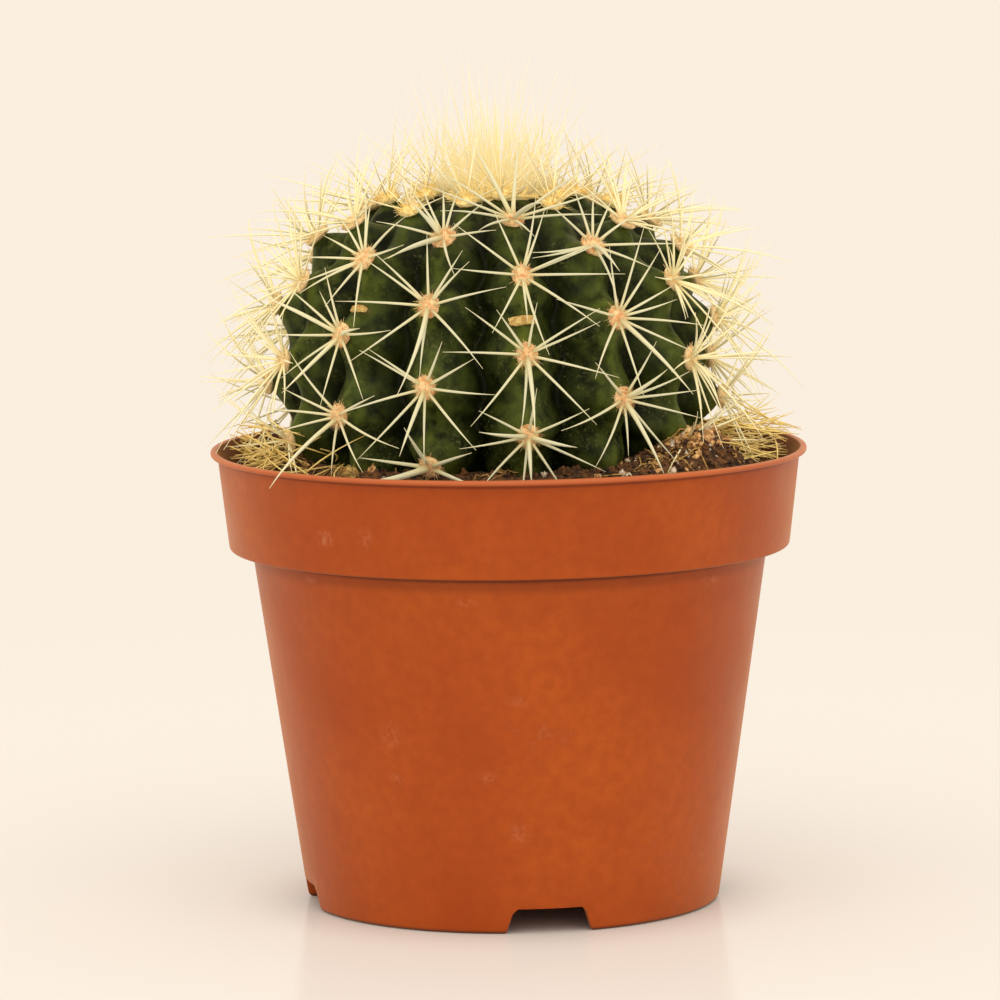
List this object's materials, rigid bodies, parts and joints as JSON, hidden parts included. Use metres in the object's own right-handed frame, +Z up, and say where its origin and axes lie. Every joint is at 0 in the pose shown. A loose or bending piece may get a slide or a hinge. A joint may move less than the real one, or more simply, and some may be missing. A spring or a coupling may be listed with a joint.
{
  "type": "potted cactus",
  "caption": "Round ribbed cactus with pale star-shaped spine clusters, growing in soil in a terracotta-coloured plastic nursery pot.",
  "frame": {"origin": "middle of the pot's foot, on the surface it stands on", "axes": "+Z up through the pot's axis; -Y is the front of the plant and +X is to the right seen from the front"},
  "size_m": [0.1214, 0.1224, 0.168],
  "materials": {
    "pot_plastic": "moulded terracotta-coloured plastic, satin, with faint scuffs",
    "soil_mix": "dry peat and grit potting mix",
    "stem_skin": "waxy dark green plant skin with a faint bluish bloom",
    "areole_spines": "cream-yellow horny spines on tan woolly cushions",
    "crown_spines": "golden-yellow young spines over woolly felt",
    "dry_straw": "dry straw-coloured fallen spines"
  },
  "bodies": {
    "root": {"areole_01_1": "areole_spines", "areole_01_2": "areole_spines", "areole_01_3": "areole_spines", "areole_01_4": "areole_spines", "areole_02_1": "areole_spines", "areole_02_2": "areole_spines", "areole_02_3": "areole_spines", "areole_03_1": "areole_spines", "areole_03_2": "areole_spines", "areole_03_3": "areole_spines", "areole_03_4": "areole_spines", "areole_04_1": "areole_spines", "areole_04_2": "areole_spines", "areole_04_3": "areole_spines", "areole_05_1": "areole_spines", "areole_05_2": "areole_spines", "areole_05_3": "areole_spines", "areole_05_4": "areole_spines", "areole_06_1": "areole_spines", "areole_06_2": "areole_spines", "areole_06_3": "areole_spines", "areole_06_4": "areole_spines", "areole_07_1": "areole_spines", "areole_07_2": "areole_spines", "areole_07_3": "areole_spines", "areole_08_1": "areole_spines", "areole_08_2": "areole_spines", "areole_08_3": "areole_spines", "areole_08_4": "areole_spines", "areole_09_1": "areole_spines", "areole_09_2": "areole_spines", "areole_09_3": "areole_spines", "areole_10_1": "areole_spines", "areole_10_2": "areole_spines", "areole_10_3": "areole_spines", "areole_10_4": "areole_spines", "areole_11_1": "areole_spines", "areole_11_2": "areole_spines", "areole_11_3": "areole_spines", "areole_11_4": "areole_spines", "areole_12_1": "areole_spines", "areole_12_2": "areole_spines", "areole_12_3": "areole_spines", "areole_13_1": "areole_spines", "areole_13_2": "areole_spines", "areole_13_3": "areole_spines", "areole_13_4": "areole_spines", "areole_14_1": "areole_spines", "areole_14_2": "areole_spines", "areole_14_3": "areole_spines", "areole_15_1": "areole_spines", "areole_15_2": "areole_spines", "areole_15_3": "areole_spines", "areole_15_4": "areole_spines", "crown": "crown_spines", "dry_spines_left": "dry_straw", "dry_spines_right": "dry_straw", "pot": "pot_plastic", "soil": "soil_mix", "stem": "stem_skin"}
  },
  "joints": []
}
